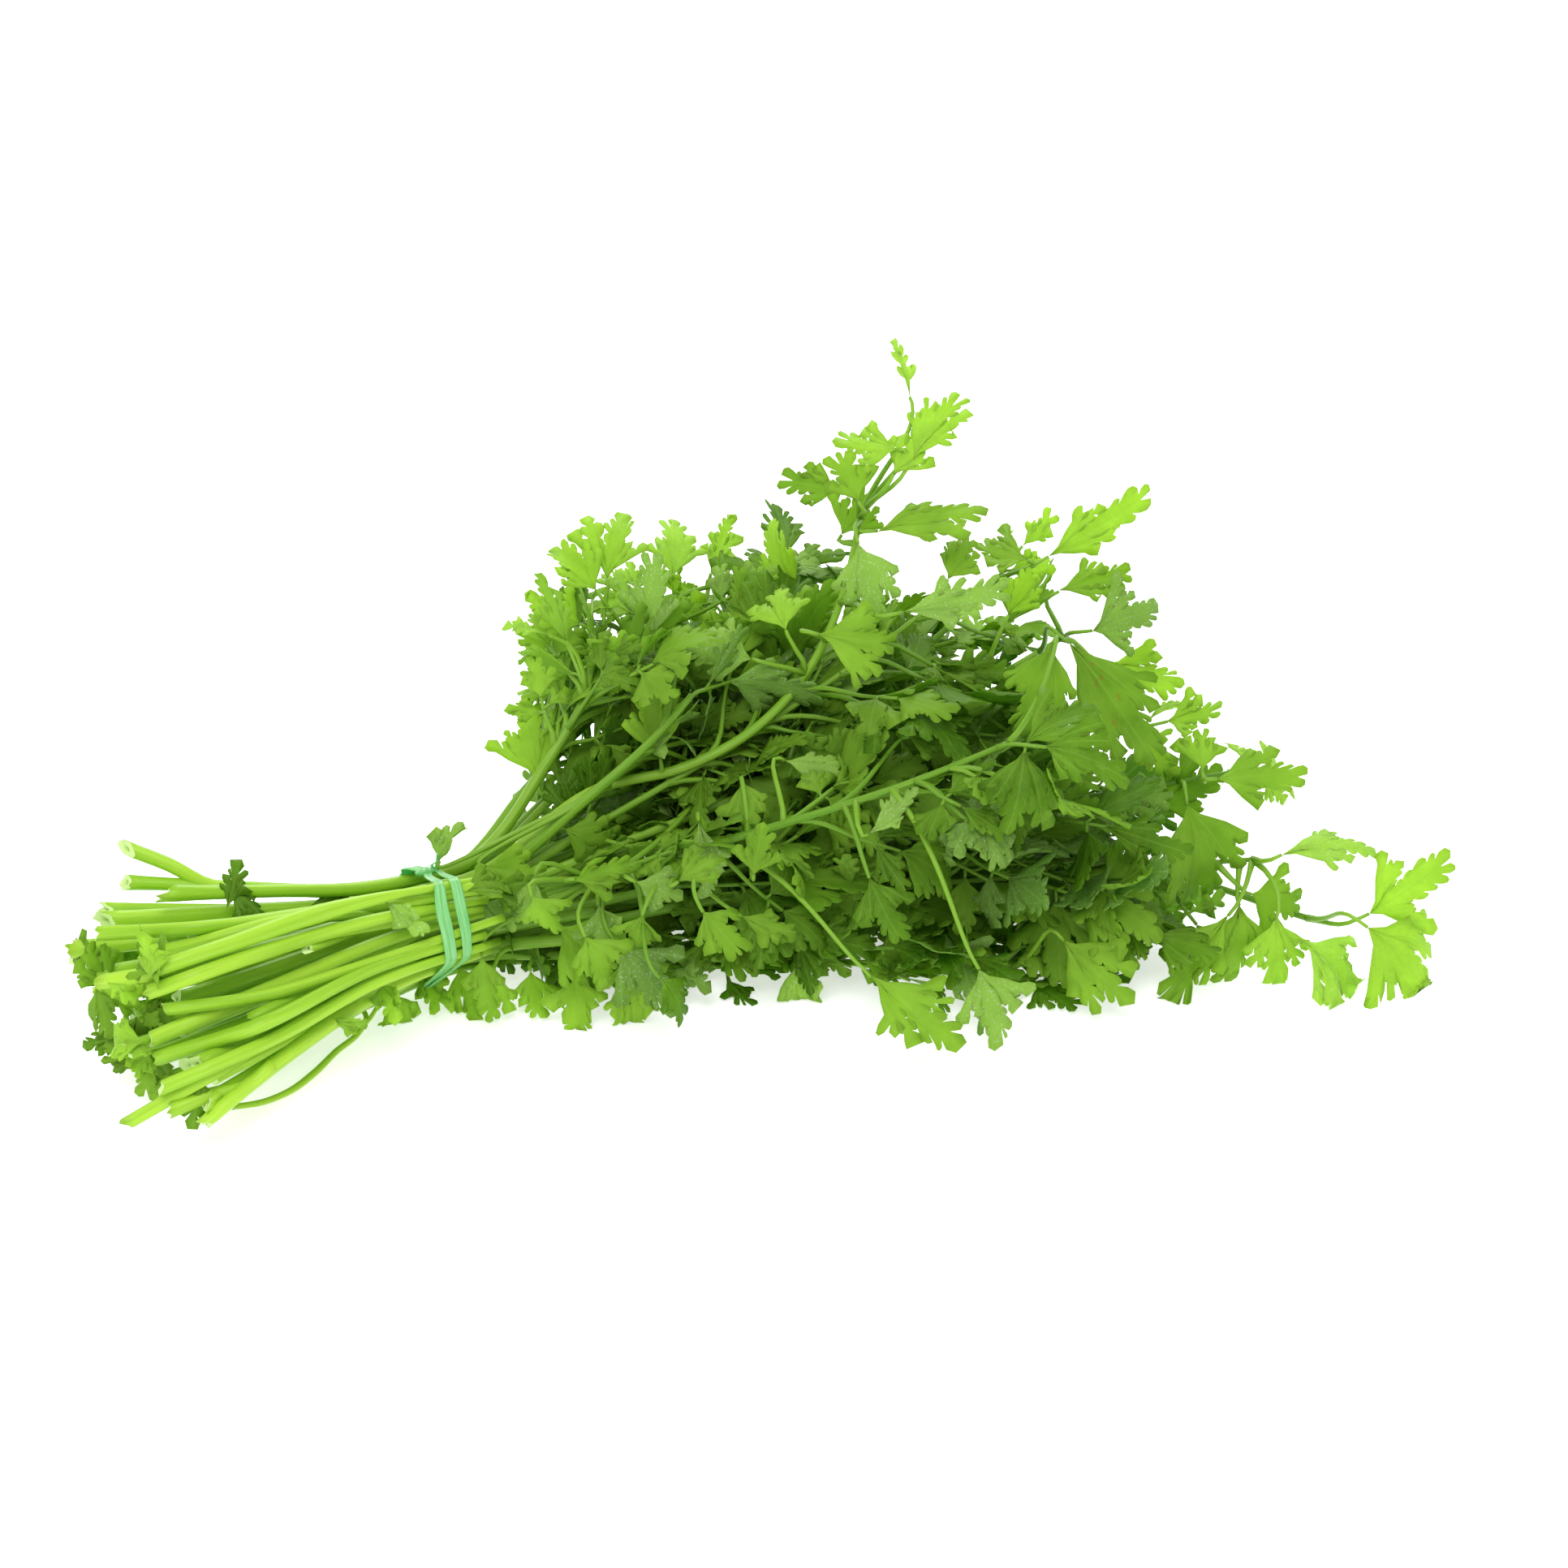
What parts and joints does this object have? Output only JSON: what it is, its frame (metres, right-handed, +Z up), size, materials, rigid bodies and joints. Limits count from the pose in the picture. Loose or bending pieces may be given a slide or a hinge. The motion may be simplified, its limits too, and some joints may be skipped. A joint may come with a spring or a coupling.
{
  "type": "coriander bunch",
  "caption": "bunch of fresh coriander lying on its side: bright bare stalks fanned at the cut ends, tied with flat plastic tape, opening into a broad fan of lobed green leaves",
  "frame": {"origin": "middle of the bounding box, at the height of the surface the bunch lies on", "axes": "+X from the cut ends of the stalks towards the leaf tips, +Z up from the surface it lies on, +Y to the left when looking along +X"},
  "size_m": [0.3096, 0.2058, 0.1282],
  "materials": {
    "stalk": "satin",
    "leaf": "satin",
    "tape": "glossy"
  },
  "bodies": {
    "root": {"bare_stalk_1": "stalk", "bare_stalk_2": "stalk", "bare_stalk_3": "stalk", "leaf_spray_01": "leaf", "leaf_spray_02": "leaf", "leaf_spray_03": "leaf", "leaf_spray_04": "leaf", "leaf_spray_05": "leaf", "leaf_spray_06": "leaf", "leaf_spray_07": "leaf", "leaf_spray_08": "leaf", "leaf_spray_09": "leaf", "leaf_spray_10": "leaf", "leaf_spray_11": "leaf", "leaf_spray_12": "leaf", "leaf_spray_13": "leaf", "leaf_spray_14": "leaf", "leaf_spray_15": "leaf", "leaf_spray_16": "leaf", "leaf_spray_17": "leaf", "leaf_spray_18": "leaf", "leaf_spray_19": "leaf", "leaf_spray_20": "leaf", "leaf_spray_21": "leaf", "leaf_spray_22": "leaf", "leaf_spray_23": "leaf", "leaf_spray_24": "leaf", "leaf_spray_25": "leaf", "leaf_spray_26": "leaf", "leaf_spray_27": "leaf", "stalk_01": "stalk", "stalk_02": "stalk", "stalk_03": "stalk", "stalk_04": "stalk", "stalk_05": "stalk", "stalk_06": "stalk", "stalk_07": "stalk", "stalk_08": "stalk", "stalk_09": "stalk", "stalk_10": "stalk", "stalk_11": "stalk", "stalk_12": "stalk", "stalk_13": "stalk", "stalk_14": "stalk", "stalk_15": "stalk", "stalk_16": "stalk", "stalk_17": "stalk", "stalk_18": "stalk", "stalk_19": "stalk", "stalk_20": "stalk", "stalk_21": "stalk", "stalk_22": "stalk", "stalk_23": "stalk", "stalk_24": "stalk", "stalk_25": "stalk", "stalk_26": "stalk", "stalk_27": "stalk", "tie_knot": "tape", "tie_tail": "tape", "tie_turns": "tape"}
  },
  "joints": []
}
